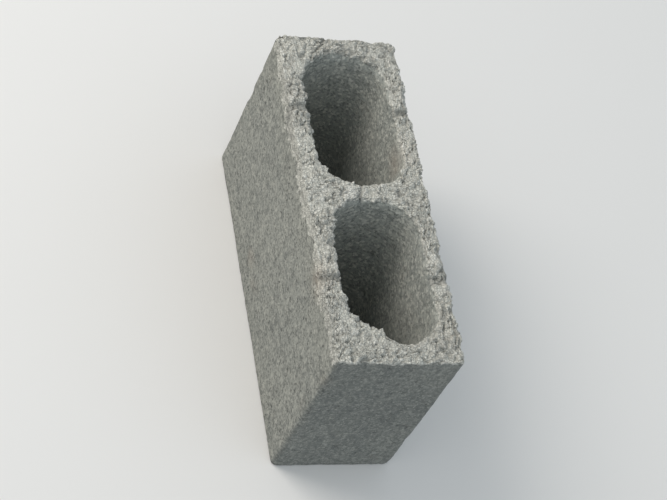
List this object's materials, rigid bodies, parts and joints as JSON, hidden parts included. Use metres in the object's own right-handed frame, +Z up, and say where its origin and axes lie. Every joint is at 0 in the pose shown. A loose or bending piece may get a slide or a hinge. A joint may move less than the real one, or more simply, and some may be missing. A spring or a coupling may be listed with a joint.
{
  "type": "hollow concrete block",
  "caption": "Narrow hollow concrete block with oval, tapered, blind cores in a row, open at the top, for walls laid in mortar.",
  "frame": {"origin": "middle of the closed bed that the block stands on", "axes": "+X along the block, +Y across its width, +Z up out of the open cores"},
  "size_m": [0.34, 0.115, 0.19],
  "materials": {
    "concrete": "rough, open-textured grey cast concrete; coarse on the open top and smoother where the mould rubbed it"
  },
  "bodies": {
    "root": {"hollow_block": "concrete"}
  },
  "joints": []
}
